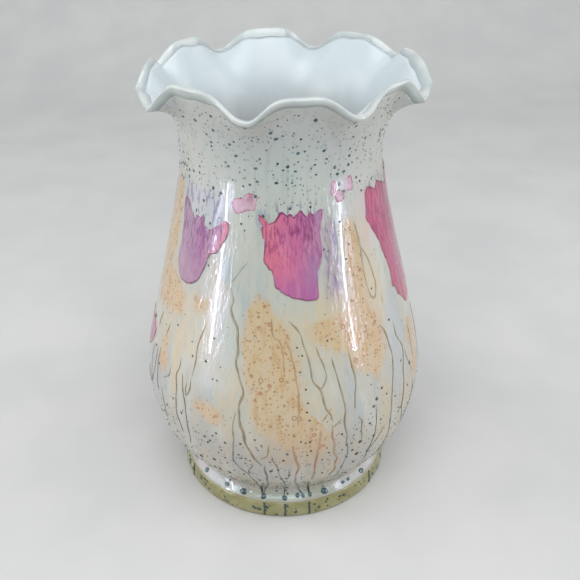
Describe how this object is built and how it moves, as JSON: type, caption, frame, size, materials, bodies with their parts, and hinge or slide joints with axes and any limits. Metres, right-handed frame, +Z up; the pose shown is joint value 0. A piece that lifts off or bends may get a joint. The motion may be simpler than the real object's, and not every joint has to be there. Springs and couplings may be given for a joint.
{
  "type": "art glass vase",
  "caption": "Hand blown art glass vase: full belly on a ring foot, tapering to a neck and a flared, ruffled mouth, with coloured glass patches, drip trails and frit laid on a pale casing.",
  "frame": {"origin": "on the vase's axis at the ground face of the foot, so the vase stands on Z = 0", "axes": "+Z up along the vase's axis to the mouth, -Y the front with the middle rose patch, +X to the right as seen from the front"},
  "size_m": [0.1231, 0.1237, 0.191],
  "materials": {
    "pale_casing_glass": "glossy, faintly iridescent, fire polished",
    "opal_glass": "glossy opal white",
    "clear_glass": "clear, fire polished",
    "foot_glass": "yellow-green, ground flat underneath",
    "rose_glass": "glossy, streaked",
    "mauve_glass": "glossy, streaked",
    "pale_pink_glass": "glossy",
    "amber_glass": "glossy, mottled",
    "olive_glass": "glossy",
    "russet_glass": "glossy",
    "teal_glass": "glossy",
    "dark_frit_glass": "glossy"
  },
  "bodies": {
    "root": {"outer_casing": "pale_casing_glass", "opal_lining": "opal_glass", "lip_bead": "clear_glass", "foot_ring": "foot_glass", "pontil_mark": "clear_glass", "rose_patch_front": "rose_glass", "rose_patch_left": "mauve_glass", "rose_patch_right": "rose_glass", "rose_patch_far_left": "rose_glass", "rose_patch_back": "mauve_glass", "pink_blot_left": "pale_pink_glass", "pink_blot_right": "pale_pink_glass", "amber_stain_front": "amber_glass", "amber_stain_front_right": "amber_glass", "amber_stain_low": "amber_glass", "amber_stain_left": "amber_glass", "amber_stain_right": "amber_glass", "amber_stain_back": "amber_glass", "olive_trails_front": "olive_glass", "russet_trails_front": "russet_glass", "trails_right": "teal_glass", "trails_left": "teal_glass", "trails_back": "olive_glass", "neck_frit": "teal_glass", "body_frit": "dark_frit_glass", "foot_frit": "dark_frit_glass", "foot_beads": "teal_glass"}
  },
  "joints": []
}
